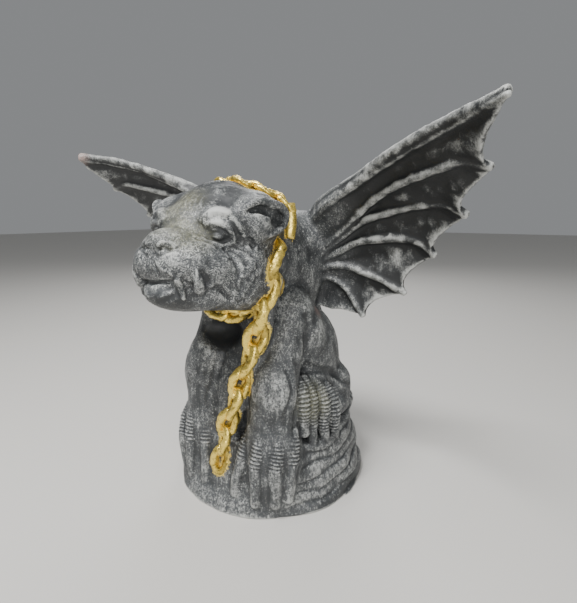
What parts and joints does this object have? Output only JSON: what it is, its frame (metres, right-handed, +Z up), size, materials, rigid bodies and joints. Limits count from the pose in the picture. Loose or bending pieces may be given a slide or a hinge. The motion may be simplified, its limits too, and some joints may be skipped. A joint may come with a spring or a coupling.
{
  "type": "gargoyle statue",
  "caption": "Winged gargoyle with a gilded chain, crouching on a rock base: a cast stone ornament that stands on its flat underside.",
  "frame": {"origin": "middle of the flat underside, below the crouching figure", "axes": "+Z up, -Y the way the creature faces, +X the creature's left"},
  "size_m": [0.4085, 0.2466, 0.3169],
  "materials": {
    "painted_stone": "satin"
  },
  "bodies": {
    "root": {"gargoyle": "painted_stone"}
  },
  "joints": []
}
